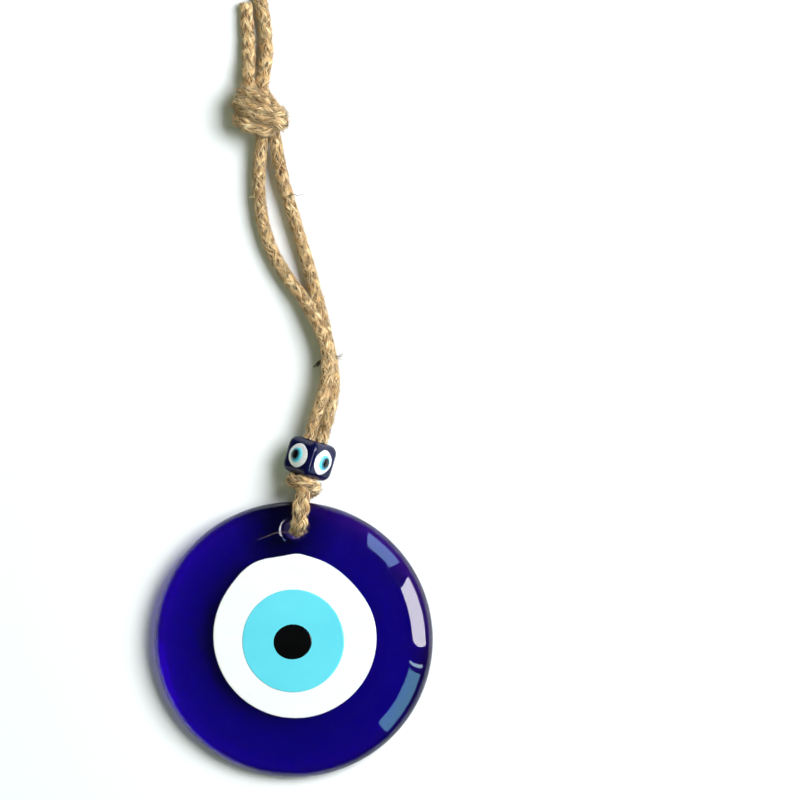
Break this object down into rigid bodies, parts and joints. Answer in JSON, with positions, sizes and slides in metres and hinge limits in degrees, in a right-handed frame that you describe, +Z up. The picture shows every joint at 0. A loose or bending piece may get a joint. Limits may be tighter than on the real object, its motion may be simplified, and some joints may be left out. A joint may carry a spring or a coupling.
{
  "type": "evil eye ornament",
  "caption": "Hanging glass eye charm: a round glass disc with an eye, tied to a doubled jute cord with a glass cube bead and knots.",
  "frame": {"origin": "on the surface it lies on, under the middle of the glass disc", "axes": "+Z up, out of the eye's face; +Y from the disc towards the cord; +X to the right as the eye is seen"},
  "size_m": [0.1, 0.3227, 0.0182],
  "materials": {
    "cobalt_glass": "clear cobalt blue cast glass, glossy",
    "white_glass": "opaque white glass, glossy",
    "light_blue_glass": "opaque light blue glass, glossy",
    "black_glass": "opaque black glass, glossy",
    "bead_glass": "dark navy glass, glossy",
    "jute": "braided natural jute, fuzzy"
  },
  "bodies": {
    "cord": {"cord_loop": "jute", "lower_knot": "jute", "left_run": "jute", "right_run": "jute", "upper_knot": "jute", "left_tail": "jute", "right_tail": "jute"},
    "disc": {"glass_disc": "cobalt_glass", "white_layer": "white_glass", "light_blue_layer": "light_blue_glass", "pupil": "black_glass"},
    "bead": {"bead_body": "bead_glass", "bead_eye_white_1": "white_glass", "bead_eye_blue_1": "light_blue_glass", "bead_eye_pupil_1": "black_glass", "bead_eye_white_2": "white_glass", "bead_eye_blue_2": "light_blue_glass", "bead_eye_pupil_2": "black_glass", "bead_eye_white_3": "white_glass", "bead_eye_blue_3": "light_blue_glass", "bead_eye_pupil_3": "black_glass", "bead_eye_white_4": "white_glass", "bead_eye_blue_4": "light_blue_glass", "bead_eye_pupil_4": "black_glass"}
  },
  "joints": [
    {"name": "disc_swing", "type": "hinge", "parent": "cord", "child": "disc", "pos_m": [0, 0.04005, 0.00426], "axis": [0, -0.0489, 0.9988], "range_deg": [-38, 14]},
    {"name": "bead_slide", "type": "slide", "parent": "cord", "child": "bead", "axis": [0.2924, 0.9563, 0], "range_m": [0, 0.008]}
  ]
}
